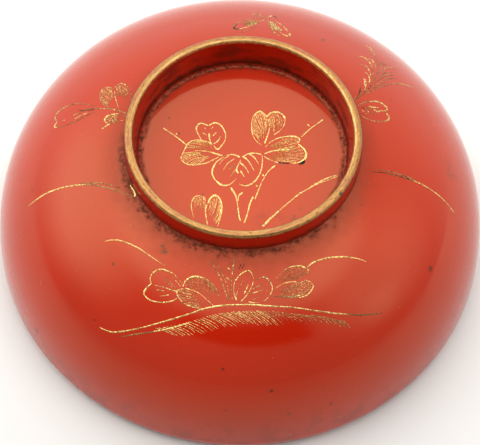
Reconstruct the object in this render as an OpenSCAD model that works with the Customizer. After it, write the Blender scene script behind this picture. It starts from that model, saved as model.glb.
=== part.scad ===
// Shallow lacquered wooden bowl, lying upside down on its rim with the foot ring up.
// The origin is the centre of the rim plane, and +Z runs up through the foot ring.
// A turned wooden core carries a dark ground coat, then red lacquer laid on zone by zone,
// then a gold band on the foot ring and fine raised gold drawing.

/* [Bowl] */
// Largest diameter of the bowl
body_d = 120; // [115:1:140]
// Overall height, from the rim to the top of the foot ring
bowl_h = 48; // [46:0.5:54]
// Height of the largest diameter above the rim
belly_h = 4.5; // [3.5:0.5:6]
// Height of the wall's curve above the largest diameter, were it to run on to the axis
dome_h = 41.3; // [40:0.1:43]
// Fullness of the wall's curve: 2 is an ellipse, more is squarer
dome_n = 2.35; // [2.1:0.05:2.6]
// Outer diameter at the rim, which turns in a little
rim_d = 117; // [113:0.5:119]
// Finished wall thickness at the rim
wall_t = 2.4; // [2.2:0.1:3]

/* [Foot ring] */
// Outer diameter at the top of the foot ring
foot_d = 56; // [52:0.5:60]
// How much the foot ring's outer side spreads towards the wall
foot_flare = 0.6; // [0:0.1:1.2]
// Finished thickness of the foot ring at its top
foot_t = 1.8; // [1.6:0.1:2.4]
// Depth of the recess inside the foot ring
recess_h = 8.5; // [6:0.5:9.5]
// How much the recess narrows towards its floor
recess_taper = 1.1; // [0:0.1:2]
// Finished thickness of the floor between the recess and the inside
floor_t = 2.8; // [2.4:0.1:4]

/* [Coats] */
// Thickness of the dark ground coat
ground_t = 0.3; // [0.2:0.05:0.35]
// Thickness of the red lacquer over it
lacquer_t = 0.2; // [0.1:0.05:0.25]
// Thickness of the gold band on the foot ring
band_t = 0.08; // [0.05:0.01:0.15]
// How far the gold band comes down each side of the foot ring
band_drop = 0.9; // [0.8:0.1:2]

/* [Gold drawing] */
// Width of a drawn line
line_w = 0.34; // [0.3:0.02:0.5]
// Width of a fine vein or grass stroke
vein_w = 0.24; // [0.2:0.02:0.3]
// How far a drawn line stands up from the lacquer
line_h = 0.1; // [0.06:0.01:0.15]

/* [Hidden] */
$fn = 96;

body_r = body_d/2;
rim_r = rim_d/2;
foot_r = foot_d/2;
foot_base_r = foot_r + foot_flare/2;
recess_r = foot_r - foot_t;
recess_z = bowl_h - recess_h;
inner_r = body_r - wall_t;
inner_h = recess_z - floor_t - belly_h;
inner_n = 2.6;
lip_round = 0.8;
top_round = 0.7;
corner_round = 0.9;
corner_step = 22.5;
wall_steps = 36;
lip_steps = 5;
// Steps below the largest diameter at which the rim's own coat starts
rim_split = 2;
stroke_steps = 3;
// Part of a line's width left at its two ends
tip_part = 0.5;

// ---- Finished section, as [radius, height] points from the inside's centre, round the
// ---- rim, up the outside, over the foot ring and back to the centre of its recess

function oval(a, b, n, angle) =
    [a*pow(cos(angle), 2/n), belly_h + b*pow(sin(angle), 2/n)];
function arc(centre, r, from, to) =
    let (count = ceil(abs(to - from)/corner_step))
    [for (i = [0:count]) let (angle = from + (to - from)*i/count)
        centre + r*[cos(angle), sin(angle)]];
// Turn-in of the rim at a height below the largest diameter
function turn_in(z) = (body_r - rim_r)*pow((belly_h - z)/belly_h, 2);

foot_angle = acos(pow(foot_base_r/body_r, dome_n/2));
inside_curve = [for (i = [wall_steps:-1:0]) oval(inner_r, inner_h, inner_n, 90*i/wall_steps)];
inside_lip = [for (i = [1:lip_steps]) let (z = belly_h - (belly_h - lip_round)*i/lip_steps)
    [inner_r - turn_in(z), z]];
lip_in = inside_lip[lip_steps - 1].x;
lip_out = body_r - turn_in(lip_round);
lip_curve = concat(arc([lip_in + lip_round, lip_round], lip_round, 180, 270),
                   arc([lip_out - lip_round, lip_round], lip_round, 270, 360));
outside_lip = [for (i = [lip_steps - 1:-1:0]) let (z = belly_h - (belly_h - lip_round)*i/lip_steps)
    [body_r - turn_in(z), z]];
outside_curve = [for (i = [1:wall_steps]) oval(body_r, dome_h, dome_n, foot_angle*i/wall_steps)];
foot_outside = [[foot_r, bowl_h - band_drop]];
foot_top = concat(arc([foot_r - top_round, bowl_h - top_round], top_round, 0, 90),
                  arc([recess_r + top_round, bowl_h - top_round], top_round, 90, 180));
foot_inside = [[recess_r, bowl_h - band_drop]];
recess_corner = arc([recess_r - recess_taper - corner_round, recess_z + corner_round],
                    corner_round, 0, -90);

section = concat(inside_curve, inside_lip, [for (i = [1:len(lip_curve) - 1]) lip_curve[i]],
                 outside_lip, outside_curve, foot_outside, foot_top, foot_inside,
                 recess_corner, [[0, recess_z]]);
// Where each zone of the section starts, counted along it
i_lip = len(inside_curve) + len(inside_lip) - 1;
i_lip_out = i_lip + len(lip_curve) - 1;
i_rim = i_lip - lip_steps + rim_split;
i_wall = i_lip_out + lip_steps - rim_split;
i_foot = i_lip_out + lip_steps + wall_steps;
i_band = i_foot + 1;
i_band_end = i_band + len(foot_top) + 1;
i_recess = i_band_end + 1;
i_end = len(section) - 1;

function left_of(v) = [-v.y, v.x]/norm(v);
// Direction into the wood at a point of the section, lengthened at a corner
function inward(i) =
    i == 0 ? [0, 1] : i == i_end ? [0, -1] :
    let (a = left_of(section[i] - section[i - 1]), b = left_of(section[i + 1] - section[i]))
    (a + b)/(1 + a*b);
function below(depth, from = 0, to = i_end) =
    [for (i = [from:to]) section[i] + depth*inward(i)];
function reversed(list) = [for (i = [len(list) - 1:-1:0]) list[i]];

// Skin between two depths under the finished surface, over one zone of the section
module skin(outer, inner, from = 0, to = i_end) {
    rotate_extrude()
        polygon(concat(below(outer, from, to), reversed(below(inner, from, to))));
}

module wood_core() {
    color("peru") rotate_extrude() polygon(below(lacquer_t + ground_t));
}
module ground_coat() { color([0.09, 0.05, 0.04]) skin(lacquer_t, lacquer_t + ground_t); }
module inner_lacquer() { color([0.78, 0.14, 0.05]) skin(0, lacquer_t, 0, i_rim); }
module rim_lacquer() { color([0.62, 0.11, 0.05]) skin(0, lacquer_t, i_rim, i_wall); }
module outer_lacquer() { color([0.82, 0.16, 0.05]) skin(0, lacquer_t, i_wall, i_foot); }
module foot_lacquer() { color([0.70, 0.10, 0.04]) skin(0, lacquer_t, i_foot, i_recess); }
module recess_lacquer() { color([0.80, 0.14, 0.05]) skin(0, lacquer_t, i_recess, i_end); }
module foot_gold_band() { color([0.80, 0.58, 0.22]) skin(-band_t, 0, i_band, i_band_end); }

// ---- Gold drawing. A place on the wall is [azimuth, distance down the wall from the foot],
// ---- and [] is the recess floor. A line's points are in mm from its place: x across, and
// ---- y towards the foot, or plain x and y on the floor.

wall_line = [for (i = [i_foot:-1:i_wall]) section[i]];
function run(i) = i == 0 ? 0 : run(i - 1) + norm(wall_line[i] - wall_line[i - 1]);
wall_radius = [for (i = [0:len(wall_line) - 1]) [run(i), wall_line[i].x]];
wall_height = [for (i = [0:len(wall_line) - 1]) [run(i), wall_line[i].y]];
function wall_at(s) = [lookup(s, wall_radius), lookup(s, wall_height)];
function on_wall(azimuth, s, lift) =
    let (slope = wall_at(s + 0.5) - wall_at(s - 0.5),
         p = wall_at(s) + lift*[-slope.y, slope.x]/norm(slope))
    [p.x*cos(azimuth), p.x*sin(azimuth), p.y];
function placed(place, p, lift) =
    len(place) == 0 ? [p.x, p.y, recess_z + lift] :
    let (s = place[1] - p.y) on_wall(place[0] + p.x/wall_at(s).x*180/PI, s, lift);

// Catmull-Rom curve through an open list of points
function smooth(p) = let (n = len(p) - 1) concat([for (i = [0:n - 1], k = [0:stroke_steps - 1])
    let (t = k/stroke_steps, a = p[max(i - 1, 0)], b = p[i], c = p[i + 1], d = p[min(i + 2, n)])
    (2*b + t*(c - a) + t*t*(2*a - 5*b + 4*c - d) + t*t*t*(3*b - a - 3*c + d))/2], [p[n]]);
// One drawn line as a thin raised ribbon, narrowed at both ends
module stroke(place, line, width) {
    n = len(line);
    corners = [for (i = [0:n - 1])
        let (ahead = line[min(i + 1, n - 1)],
             behind = line[max(i - 1, 0)],
             half = (i == 0 || i == n - 1 ? tip_part : 1)*width/2,
             side = left_of(ahead - behind)*half)
        each [placed(place, line[i] + side, 0), placed(place, line[i] - side, 0),
              placed(place, line[i] - side, line_h), placed(place, line[i] + side, line_h)]];
    walls = [for (i = [0:n - 2], k = [0:3])
        let (j = i + 1, m = (k + 1)%4)
        each [[4*i + k, 4*i + m, 4*j + m], [4*i + k, 4*j + m, 4*j + k]]];
    ends = [[3, 2, 1], [3, 1, 0], [4*n - 4, 4*n - 3, 4*n - 2], [4*n - 4, 4*n - 2, 4*n - 1]];
    polyhedron(corners, concat(walls, ends));
}
// Outlines and stems are drawn with the full width of the brush, veins with its tip
module lines(place, list) {
    for (points = list) stroke(place, smooth(points), line_w);
}
module veins(place, list) {
    for (points = list) stroke(place, smooth(points), vein_w);
}
gold = [0.80, 0.58, 0.22];

module gold_recess_spray() {
    color(gold) {
        // Heart-shaped leaf
        lines([], [[[-9.9, 3], [-11.3, 6.6], [-10.4, 7.8], [-8.6, 7.1]],
                   [[-8.2, 7.4], [-6.4, 8], [-4.2, 5], [-5, 1.8], [-6, 0.6], [-7, 1.5]]]);
        veins([], [[[-8.2, 5], [-8, 3.4], [-7.4, 2]], [[-5.4, 4.3], [-6, 3], [-7, 2.3]],
                   [[-9.8, 5.1], [-8.8, 4.5]]]);
        // Leaf at the left
        lines([], [[[-7.6, 2.1], [-10.2, 3], [-13.3, 1.7], [-13.8, 0.3], [-14.5, -2.3], [-12.3, -4],
                    [-8.3, -3.2], [-5.6, -1.5]],
                   [[-4.8, -1.1], [-8.4, -0.1], [-11.4, 0]]]);
        veins([], [[[-12.4, 2], [-8.4, 1]], [[-13.2, -1.8], [-9.2, -1.2]]]);
        // Broad leaf in the middle
        lines([], [[[-0.8, -1.4], [-2.6, -0.7], [-5, -1.8], [-6.9, -4.6], [-6.2, -8], [-4, -9.4],
                    [-1.3, -7.4]],
                   [[-0.1, -1.2], [3.1, -0.1], [4.7, -0.7], [4.5, -5], [2.3, -8.7], [-0.6, -8.8]],
                   [[-0.4, -2.2], [-1.3, -5], [-0.8, -5.9]]]);
        veins([], [[[-1.9, -2.1], [-3.4, -3.2], [-4.5, -5.2]], [[-1.8, -4.9], [-2.7, -6.9]],
                   [[-0.2, -2.9], [0.8, -4.2], [1.7, -5.9]], [[0.1, -1.8], [1.5, -2.4], [2.9, -5]],
                   [[1.8, -0.7], [2.9, -1.4], [3.9, -3.1]]]);
        // Pair of leaves at the upper right
        lines([], [[[4.5, 2.2], [2.3, 5], [2.2, 10.2], [3.6, 11.8], [5.4, 10.6]],
                   [[5.9, 9.5], [6.2, 6.8], [5.2, 2.7]],
                   [[5.9, 10.7], [7.7, 11.8], [10, 10], [8.8, 6.6], [7.4, 5.3]]]);
        veins([], [[[3.4, 9.8], [3.4, 6.6], [4.4, 4.4]], [[7.9, 10.3], [7.7, 7.2]]]);
        // Long leaf at the right
        lines([], [[[5.3, 1.6], [8.5, 4.4], [12.6, 5], [13.6, 4.1], [13, 3.3]],
                   [[5.1, -0.9], [8.4, -2.4], [13.4, -2.3], [15.2, 0.4], [13.2, 2.7]],
                   [[5.2, -0.2], [8, 0.9], [11.2, 1.3]]]);
        veins([], [[[11.6, 3.6], [8.4, 2.4]], [[12.6, -0.4], [8.6, -0.6]]]);
        // Twigs and stems
        lines([], [[[14.1, 5.1], [16.2, 7.5], [18.8, 9.8]], [[-19.2, 6], [-16.4, 4], [-14, 2]],
                   [[-2.5, -9.9], [-1.3, -12], [-0.6, -15], [0.1, -19]],
                   [[7.9, -3.3], [6.3, -5], [4.6, -8.6], [3.3, -12.4]],
                   [[2.9, -12.9], [1.9, -16], [1, -19.4]]]);
        veins([], [[[-0.7, -12.8], [-0.4, -11.8], [0.4, -11.1]]]);
        // Pair of leaves at the lower left
        lines([], [[[-10.9, -18.6], [-11.6, -14.6], [-9.8, -12.4], [-8.7, -12.8]],
                   [[-8, -14.8], [-8.2, -16.9], [-7.6, -20.4]],
                   [[-7.8, -14.3], [-6.2, -12.2], [-4.4, -14.8], [-5.2, -20.6]]]);
        veins([], [[[-9.8, -14], [-9.7, -17]], [[-5.8, -14.4], [-6.8, -18.2]]]);
    }
}
module gold_recess_blade() {
    color(gold) lines([], [[[5.2, -20.2], [9, -15.8], [13.7, -11], [18.6, -7.6], [22.8, -5.6]]]);
}
module gold_front_spray() {
    at = [-90, 14];
    color(gold) {
        lines(at, [[[-36, 1.4], [-30.6, 4.4], [-24, 5.9], [-17.8, 5.7]],
                   [[17.6, 7.2], [22.5, 6.6], [27, 4.7], [33.4, 0.7]]]);
        // Open leaf at the left
        lines(at, [[[-13, 3.2], [-16.2, 4.9], [-20.6, 3.1], [-21, 0.5], [-22.8, -2.4], [-18.2, -2.4],
                    [-14.5, -0.4]]]);
        veins(at, [[[-20, 0.6], [-17.5, 1.1], [-14.7, 1.3]], [[-18.6, -1.2], [-16.2, -0.1]],
                   [[-18, 2.8], [-15.5, 1.9]]]);
        // Two closed leaves beside it
        lines(at, [[[-4, 2.3], [-5.9, 5.1], [-9, 6.3], [-12.2, 4.5], [-12.7, 3.1]],
                   [[-12.3, 2.6], [-9.4, 2.6], [-7.1, 1.4], [-5.1, 0]],
                   [[-12.9, 2.3], [-14.3, 1], [-12.5, -0.8], [-8.4, -1]]]);
        veins(at, [[[-10.8, 4.6], [-8.2, 3.8], [-5.8, 3]], [[-12.6, 0.9], [-9.2, 0.6]]]);
        // Blades and twig in the middle
        lines(at, [[[-6.8, 10.6], [-4.3, 7.1], [-2.5, 3]], [[-1, 11.5], [-1.5, 6.3], [-1.3, 2.6]]]);
        veins(at, [[[-5.2, 10.5], [-3.1, 6.8], [-1.9, 3]], [[0.6, 10.5], [0.1, 9.3]],
                   [[1.4, 10.6], [0.8, 9.3]]]);
        // Open leaf right of the middle, in two halves
        lines(at, [[[-0.2, 2.2], [-0.8, 6.3], [0.7, 8.2], [2.6, 8.9], [3.6, 7.2]],
                   [[3.5, 6.2], [2.8, 4.2], [0.9, 1.8]],
                   [[4.3, 6.8], [6, 7.2], [8, 4.4], [6.6, 2.1]]]);
        veins(at, [[[1.2, 6.5], [0, 4.2], [0, 3]], [[6, 5.8], [3.8, 4.8]], [[6, 4.4], [3.7, 3.7]],
                   [[5, 1.9], [2.6, 2]]]);
        // Closed leaf at the right, in two halves
        lines(at, [[[8.8, 6.4], [12.4, 8.3], [15.6, 7.3], [16.9, 6.1], [16, 5.4]],
                   [[8.9, 4.3], [11.1, 5], [13.8, 4.6]],
                   [[8.3, 2.6], [14.5, 0.9], [18, 2.1], [15.8, 4.4]]]);
        veins(at, [[[14, 6.8], [10.6, 6]], [[15.4, 2.6], [11.4, 3.2]]]);
    }
}
module gold_front_ground() {
    at = [-90, 14];
    color(gold) {
        lines(at, [[[-34.4, -15.4], [-31, -14.6], [-23.3, -10.1], [-15.2, -5.1], [-7.5, -0.7], [-0.4, 1],
                    [8.1, 0.3], [17.4, -2.6], [27.5, -7.2], [37.2, -11.4]],
                   [[-28, -14.2], [-19.6, -9.4], [-11.6, -5]]]);
        // Slanting grass strokes below the ground line
        for (x = [-8:3:22]) {
            start = [x, -0.7 - 0.012*(x - 2)*(x - 2)];
            stroke(at, [start, start + [2, -1.9], start + [3.8, -3.2]], vein_w);
        }
    }
}
module gold_left_blade() {
    at = [-170, 12];
    color(gold) {
        lines(at, [[[1.6, -16.4], [1.3, -10.2], [2.1, -4], [3.6, 1.4], [6.2, 6], [9.4, 9.7], [10.4, 10.6]],
                   [[7.4, 11.5], [9, 11.7], [10.8, 11]]]);
        veins(at, [[[3, 1.6], [4.1, 4.6], [5.7, 7.2], [7.7, 9.4]]]);
    }
}
module gold_left_spray() {
    at = [150, 12];
    color(gold) {
        // Long open leaf, notched at its tip
        lines(at, [[[7.9, 1.5], [8.1, -4], [9.9, -8.1], [13, -9.5], [13.8, -8.6]],
                   [[14.2, -8.2], [15.6, -8.2], [14.7, -4.7], [11.4, 0], [9.2, 2.7]],
                   [[7.2, 11.2], [7.5, 6.1], [9, 0.6], [11.8, -3.8]]]);
        veins(at, [[[12.8, -3], [11.3, -1.2], [10.2, 0.4]]]);
        // Pair of closed leaves
        lines(at, [[[6.9, 7.1], [6.6, 3.7], [3.8, 1.3], [1.8, 2], [2.1, 4]],
                   [[1.6, 4.4], [-0.3, 5.6], [0.6, 8.4], [4.4, 10.9]], [[2.4, 4.8], [4.2, 6.3], [6.6, 8.5]]]);
        veins(at, [[[3.2, 2.8], [5, 4.6]], [[1.2, 6.2], [3, 8.2]]]);
        // Small closed leaf and a stroke beside it
        lines(at, [[[8.2, 11.4], [8.2, 8.5], [10, 5.9], [11.2, 6.6], [10.4, 9.2], [9.4, 10.7]],
                   [[13.5, 5.8], [12.4, 6.7], [11.7, 7.3]]]);
    }
}
module gold_back_spray() {
    at = [90, 12];
    color(gold) {
        lines(at, [[[-4.2, -0.9], [-1.6, -0.5], [1.6, 1.3], [3.2, 3.8], [1.9, 4.8], [-1.1, 3], [-3.9, -0.1]],
                   [[-1, -2.2], [-2.4, -3.3], [-4.2, -1.4]], [[-4.8, -1.5], [-6.4, -3.3], [-7.6, -1.6]],
                   [[-7.3, -0.2], [-9.8, 2.4], [-10.6, 4.8], [-8.2, 4.4]],
                   [[-5.1, -0.9], [-6.2, 3.8], [-8, 5.9]]]);
        veins(at, [[[1.6, 6.4], [-0.8, 5], [-2.7, 3]], [[-6.4, 1.4], [-8.2, 3.6]]]);
    }
}
module gold_right_fern() {
    at = [45, 12];
    color(gold) {
        lines(at, [[[-8.6, 10.2], [-8.1, 5.6], [-6.3, 0.8], [-3.2, -3.9], [0.2, -6.9], [4.6, -8.3]],
                   [[-8.9, 6], [-9.2, 0.6], [-9.6, -5], [-11.8, -10.1]]]);
        // Leaflets, each curling back from the stem
        for (leaflet = [[[1.7, -1.6], [-1.1, -2.7], [-4, -1]], [[0.2, -3.3], [-0.7, -4.2], [-2.6, -3.5]],
                        [[-0.9, 0.6], [-2, -0.4], [-4.9, 0.6]], [[-3.2, 1.6], [-4.4, 1.4], [-6.3, 3]],
                        [[-4.4, 3.8], [-5.5, 3.6], [-7.4, 5.6]], [[-6.3, 6.2], [-7.1, 6.9], [-8, 8.6]]])
            stroke(at, smooth(leaflet), line_w);
        veins(at, [[[-4.5, -3], [-4.2, -7.2], [-5.6, -9]], [[-6, -1], [-5.6, -3.4], [-6.1, -6.6]],
                   [[-7, 1.1], [-6.4, -4.2], [-7, -6.4]], [[-8, 2.4], [-7.5, -3.6], [-8.1, -6.3]],
                   [[-3, -5], [-3.3, -7.6]]]);
    }
}
module gold_right_leaf() {
    at = [25, 8];
    color(gold) {
        lines(at, [[[0, 6.1], [0.7, 2.2], [-0.5, -0.9], [-1.9, -1.8], [-2.6, -0.6]],
                   [[-2.9, -0.4], [-4.6, -1], [-5.5, 0.6], [-4.9, 3.9], [-2.4, 6.8]],
                   [[-0.5, 5.7], [-1.8, 2.4], [-2.4, 0.3]]]);
        veins(at, [[[-1.4, 4.9], [-2.4, 3.9], [-3.4, 2.6]], [[-2.5, 2.2], [-3.4, 1.2]]]);
    }
}
module gold_right_blade() {
    at = [0, 14];
    color(gold) {
        lines(at, [[[-5.6, 11.4], [-5, 5], [-4.9, 0.2], [-5.6, -5.6], [-8.4, -14.4]]]);
        veins(at, [[[-4.6, 9.9], [-4.3, 5], [-4.4, 1.6]]]);
    }
}

wood_core();
ground_coat();
inner_lacquer();
rim_lacquer();
outer_lacquer();
foot_lacquer();
recess_lacquer();
foot_gold_band();
gold_recess_spray();
gold_recess_blade();
gold_front_spray();
gold_front_ground();
gold_left_blade();
gold_left_spray();
gold_back_spray();
gold_right_fern();
gold_right_leaf();
gold_right_blade();
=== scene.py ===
"""A shallow red lacquered bowl with a gold drawing of leaves, upside down on a pale floor.

The CAD model holds the bowl's size and layers. This script lays smooth coats and a finely
drawn gold decoration over it. Lengths are in millimetres until a mesh is made.
"""

import math

import bpy
import numpy as np
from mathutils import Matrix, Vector, noise


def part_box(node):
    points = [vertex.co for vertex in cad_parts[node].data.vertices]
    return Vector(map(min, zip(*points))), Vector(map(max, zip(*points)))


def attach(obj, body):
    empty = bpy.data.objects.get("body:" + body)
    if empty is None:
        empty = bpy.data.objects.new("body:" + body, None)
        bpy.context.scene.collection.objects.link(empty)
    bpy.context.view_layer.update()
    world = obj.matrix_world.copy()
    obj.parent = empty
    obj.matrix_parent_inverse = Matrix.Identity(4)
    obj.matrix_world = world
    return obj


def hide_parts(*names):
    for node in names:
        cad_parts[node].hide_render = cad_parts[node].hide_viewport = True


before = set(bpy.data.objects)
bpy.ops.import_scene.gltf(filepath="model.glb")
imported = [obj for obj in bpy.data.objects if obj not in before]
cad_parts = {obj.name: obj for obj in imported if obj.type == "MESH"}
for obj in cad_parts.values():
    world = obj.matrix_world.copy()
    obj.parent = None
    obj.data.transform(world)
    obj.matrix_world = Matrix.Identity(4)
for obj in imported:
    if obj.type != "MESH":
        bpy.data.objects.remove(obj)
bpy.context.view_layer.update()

MM = 0.001  # metres in a millimetre


def top_mm(node):
    """Highest corner of a CAD node's box, in millimetres."""
    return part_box(node)[1] / MM


# ---- Driving sizes. Those read with top_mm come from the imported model.

CORNER_ROUND = 0.9  # rounding at the edge of the recess floor
BODY_R = top_mm("outer_lacquer").x  # largest radius
BOWL_H = top_mm("foot_lacquer").z  # height to the top of the foot ring, under its gold
RECESS_Z = top_mm("recess_lacquer").z - CORNER_ROUND  # height of the recess floor
BELLY_H = 4.5  # height of the largest radius
DOME_H = 41.3  # height of the wall's curve above that, run on to the axis
DOME_N = 2.35  # fullness of the wall's curve
RIM_R = 58.5  # radius at the rim, which turns in a little
WALL_T = 2.4  # thickness of the wall
INSIDE_N = 2.6  # fullness of the inside's curve
FLOOR_T = 2.8  # thickness of the floor inside the foot ring
FOOT_R = 28.0  # outer radius of the foot ring at its top
FOOT_BASE_R = 28.3  # and where it meets the wall
RECESS_R = 26.2  # inner radius of the foot ring at its top
RECESS_TAPER = 1.1  # how much narrower the recess is at its floor
LIP_ROUND = 0.8  # rounding of the rim's two edges
TOP_ROUND = 0.7  # rounding of the foot ring's two top edges
LACQUER_T = 0.2  # thickness of a red coat
BAND_T = 0.08  # thickness of the gilding
BAND_DROP = 0.9  # how far the gilding reaches down the foot ring's sides
RIM_SPLIT = 0.4  # share of the turned-in rim that belongs to the body's coats

AROUND = 288  # steps round the bowl in every coat
WALL_STEPS = 110
CROWDING = 1.5  # crowds the wall's steps towards the largest radius
LIP_STEPS = 20
ARC_STEP = math.radians(7.5)


# ---- Finished section, from the inside's centre round the rim and up to the recess

def oval(a, b, n, angle):
    """Point at an angle on the bowl's curve, a wide and b high above the largest radius."""
    return (a * math.cos(angle) ** (2 / n), BELLY_H + b * math.sin(angle) ** (2 / n))


def arc(r, z, radius, start, end):
    """Points on an arc about (r, z), with angles in degrees."""
    start, end = math.radians(start), math.radians(end)
    count = math.ceil(abs(end - start) / ARC_STEP)
    angles = [start + (end - start) * i / count for i in range(count + 1)]
    return [(r + radius * math.cos(a), z + radius * math.sin(a)) for a in angles]


def rim_line(radius):
    """The turned-in rim at a radius, from the largest diameter down to the rounded lip."""
    points = []
    for i in range(LIP_STEPS + 1):
        t = (BELLY_H - LIP_ROUND) / BELLY_H * i / LIP_STEPS
        points.append((radius - (BODY_R - RIM_R) * t * t, BELLY_H * (1 - t)))
    return points


def section_zones():
    """The finished surface as [radius, height] lines, one for each coat, laid end to end."""
    split = round(LIP_STEPS * RIM_SPLIT)
    inner_r = BODY_R - WALL_T
    inner_h = RECESS_Z - FLOOR_T - BELLY_H
    foot_angle = math.acos((FOOT_BASE_R / BODY_R) ** (DOME_N / 2))
    steps = range(WALL_STEPS + 1)
    crowded = [(i / WALL_STEPS) ** CROWDING for i in steps]
    inside = [oval(inner_r, inner_h, INSIDE_N, math.pi / 2 * t) for t in crowded[::-1]]
    outside = [oval(BODY_R, DOME_H, DOME_N, foot_angle * t) for t in crowded]
    in_rim, out_rim = rim_line(inner_r), rim_line(BODY_R)
    lip_in, lip_out = in_rim[-1][0], out_rim[-1][0]
    lip = arc(lip_in + LIP_ROUND, LIP_ROUND, LIP_ROUND, 180, 270)
    lip += arc(lip_out - LIP_ROUND, LIP_ROUND, LIP_ROUND, 270, 360)
    band_z = BOWL_H - BAND_DROP
    top = [(FOOT_R, band_z)] + arc(FOOT_R - TOP_ROUND, BOWL_H - TOP_ROUND, TOP_ROUND, 0, 90)
    top += arc(RECESS_R + TOP_ROUND, BOWL_H - TOP_ROUND, TOP_ROUND, 90, 180) + [(RECESS_R, band_z)]
    corner_r = RECESS_R - RECESS_TAPER - CORNER_ROUND
    corner = arc(corner_r, RECESS_Z + CORNER_ROUND, CORNER_ROUND, 0, -90)
    foot_side = divided((FOOT_BASE_R, outside[-1][1]), (FOOT_R, band_z), 8)
    foot_inside = divided((RECESS_R, band_z), corner[0], 16)
    floor = divided(corner[-1], (0, RECESS_Z), 40)
    return {
        "inner": inside + in_rim[1:split + 1],
        "rim": in_rim[split:] + lip[1:] + out_rim[-2:split - 1:-1],
        "outer": out_rim[split::-1] + outside[1:],
        "foot": foot_side + top[1:] + foot_inside[1:],
        "band": top,
        "recess": corner + floor[1:],
    }


def divided(start, end, count):
    """A straight line as points, both ends included."""
    return [tuple(a + (b - a) * i / count for a, b in zip(start, end)) for i in range(count + 1)]


def offset_line(line, depth):
    """The line moved into the wood by depth, mitred at its points. On the axis it stays there."""
    p = np.array(line, float)
    step = np.diff(p, axis=0)
    left = np.stack([-step[:, 1], step[:, 0]], 1) / np.linalg.norm(step, axis=1)[:, None]
    before = np.vstack([left[:1], left])
    after = np.vstack([left, left[-1:]])
    inward = (before + after) / (1 + (before * after).sum(1))[:, None]
    inward[p[:, 0] < 1e-6, 0] = 0
    return p + depth * inward


ZONES = section_zones()


# ---- Meshes

def make_object(name, verts, faces, material, sharp=40):
    """A smooth-shaded object from points in millimetres, with creases sharper than an angle kept."""
    mesh = bpy.data.meshes.new(name)
    mesh.from_pydata((np.array(verts) * MM).tolist(), [], faces)
    mesh.validate()
    mesh.shade_smooth()
    mesh.set_sharp_from_angle(angle=math.radians(sharp))
    mesh.materials.append(material)
    piece = bpy.data.objects.new(name, mesh)
    bpy.context.scene.collection.objects.link(piece)
    return piece


def revolve(loop):
    """Points and faces of a loop of [radius, height] turned round the axis. On it a ring is one point."""
    verts, rings = [], []
    for r, z in loop:
        if r < 1e-6:
            rings.append([len(verts)] * AROUND)
            verts.append((0, 0, z))
            continue
        rings.append(list(range(len(verts), len(verts) + AROUND)))
        for k in range(AROUND):
            angle = 2 * math.pi * k / AROUND
            verts.append((r * math.cos(angle), r * math.sin(angle), z))
    faces = []
    for a, b in zip(rings, rings[1:] + rings[:1]):
        for k in range(AROUND):
            m = (k + 1) % AROUND
            corners = list(dict.fromkeys((a[k], a[m], b[m], b[k])))
            if len(corners) > 2:
                faces.append(corners)
    return verts, faces


def coat(name, node, zone, material, outer=0.0, inner=LACQUER_T):
    """A thin closed coat over one zone of the section, standing for its CAD node."""
    line = ZONES[zone]
    loop = list(map(tuple, offset_line(line, outer))) + list(map(tuple, offset_line(line, inner)[::-1]))
    verts, faces = revolve(loop)
    piece = make_object(name, verts, faces, material)
    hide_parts(node)
    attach(piece, "root")
    return piece


# ---- Gold drawing. A place on the wall is (azimuth, distance down the wall from the foot), and
# ---- None is the recess floor. A line's points are in mm from its place: x across, and y
# ---- towards the foot, or plain x and y on the floor. Most of them were measured and worked out
# ---- by a separate program and then edited, so they are a record of one drawing, not a design.

LINE_H = 0.07  # how far a brushed line stands up
LINE_SUNK = 0.03  # how far its edges go into the lacquer
LINE_STEP = 0.35  # longest step along a line
LINE_UNEVEN = 0.35  # how much the brush's width wanders
LINE_PROFILE = ((-1, -LINE_SUNK), (-0.75, 0.7 * LINE_H), (0, LINE_H), (0.75, 0.7 * LINE_H), (1, -LINE_SUNK))

WALL = np.array(ZONES["outer"][::-1])
WALL_RUN = np.concatenate([[0], np.cumsum(np.linalg.norm(np.diff(WALL, axis=0), axis=1))])


def wall_at(run):
    """[radius, height] of the wall at a distance down it from the foot."""
    return np.stack([np.interp(run, WALL_RUN, WALL[:, 0]), np.interp(run, WALL_RUN, WALL[:, 1])], -1)


def placed(place, flat, lift):
    """Points of a drawing, laid on the bowl and lifted off it."""
    if place is None:
        return np.column_stack([flat, RECESS_Z + lift])
    run = place[1] - flat[:, 1]
    slope = wall_at(run + 0.5) - wall_at(run - 0.5)
    out = np.stack([-slope[:, 1], slope[:, 0]], 1) / np.linalg.norm(slope, axis=1)[:, None]
    at = wall_at(run)
    angle = math.radians(place[0]) + flat[:, 0] / at[:, 0]
    at = at + out * lift[:, None]
    return np.column_stack([at[:, 0] * np.cos(angle), at[:, 0] * np.sin(angle), at[:, 1]])


def smooth(points):
    """A Catmull-Rom curve through the points, finely divided."""
    p = np.array([points[0], *points, points[-1]], float)
    curve = []
    for a, b, c, d in zip(p, p[1:], p[2:], p[3:]):
        for t in np.linspace(0, 1, 12, endpoint=False):
            curve.append((2 * b + t * (c - a) + t * t * (2 * a - 5 * b + 4 * c - d)
                          + t ** 3 * (3 * b - a - 3 * c + d)) / 2)
    return np.array(curve + [p[-1]])


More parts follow.
